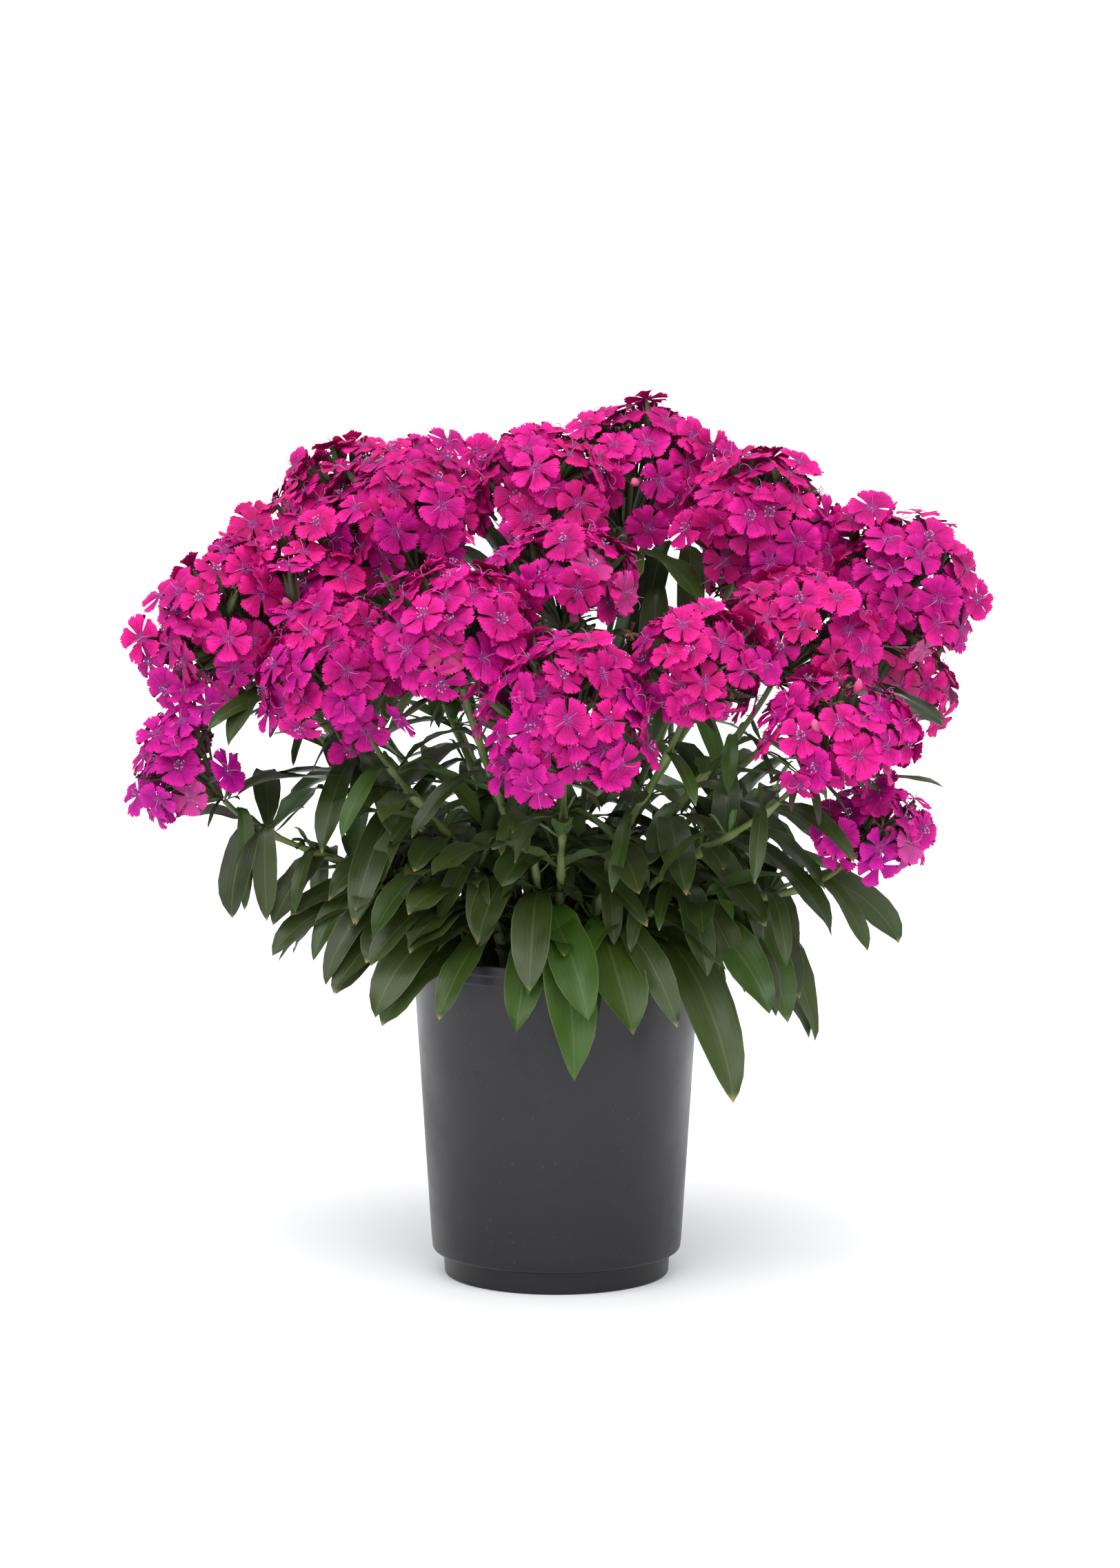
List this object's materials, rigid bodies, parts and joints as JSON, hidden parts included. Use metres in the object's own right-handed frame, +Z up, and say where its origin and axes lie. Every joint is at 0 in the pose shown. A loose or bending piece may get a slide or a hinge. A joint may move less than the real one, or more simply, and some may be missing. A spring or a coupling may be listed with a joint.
{
  "type": "potted dianthus plant",
  "caption": "Bushy dianthus with rounded heads of magenta flowers with toothed petals on leafy stems, in a round black plastic grower pot.",
  "frame": {"origin": "centre of the pot's flat base, on the surface that it stands on", "axes": "+Z up along the pot's axis, -Y towards the front of the plant, +X to the right as seen from the front"},
  "size_m": [0.4751, 0.4565, 0.4967],
  "materials": {
    "black_plastic": "satin",
    "potting_soil": "matte",
    "magenta_petals": "matte",
    "green_leaf": "satin"
  },
  "bodies": {
    "root": {"head_back": "magenta_petals", "head_back_left": "magenta_petals", "head_back_right": "magenta_petals", "head_far_left": "magenta_petals", "head_far_right": "magenta_petals", "head_front": "magenta_petals", "head_front_right": "magenta_petals", "head_left": "magenta_petals", "head_low_back_left": "magenta_petals", "head_low_back_right": "magenta_petals", "head_low_left": "magenta_petals", "head_low_right": "magenta_petals", "head_lowest_back": "magenta_petals", "head_lowest_back_left": "magenta_petals", "head_lowest_back_right": "magenta_petals", "head_lowest_right": "magenta_petals", "head_middle": "magenta_petals", "head_middle_left": "magenta_petals", "head_right": "magenta_petals", "head_top": "magenta_petals", "head_top_left": "magenta_petals", "head_upper_left": "magenta_petals", "head_upper_left_back": "magenta_petals", "head_upper_right": "magenta_petals", "pot": "black_plastic", "shoot_back": "green_leaf", "shoot_back_left": "green_leaf", "shoot_back_right": "green_leaf", "shoot_front": "green_leaf", "shoot_front_left": "green_leaf", "shoot_front_right": "green_leaf", "shoot_left": "green_leaf", "shoot_right": "green_leaf", "shoot_right_front": "green_leaf", "soil": "potting_soil", "stem_back": "green_leaf", "stem_back_left": "green_leaf", "stem_back_right": "green_leaf", "stem_far_left": "green_leaf", "stem_far_right": "green_leaf", "stem_front": "green_leaf", "stem_front_right": "green_leaf", "stem_left": "green_leaf", "stem_low_back_left": "green_leaf", "stem_low_back_right": "green_leaf", "stem_low_left": "green_leaf", "stem_low_right": "green_leaf", "stem_lowest_back": "green_leaf", "stem_lowest_back_left": "green_leaf", "stem_lowest_back_right": "green_leaf", "stem_lowest_right": "green_leaf", "stem_middle": "green_leaf", "stem_middle_left": "green_leaf", "stem_right": "green_leaf", "stem_top": "green_leaf", "stem_top_left": "green_leaf", "stem_upper_left": "green_leaf", "stem_upper_left_back": "green_leaf", "stem_upper_right": "green_leaf"}
  },
  "joints": []
}
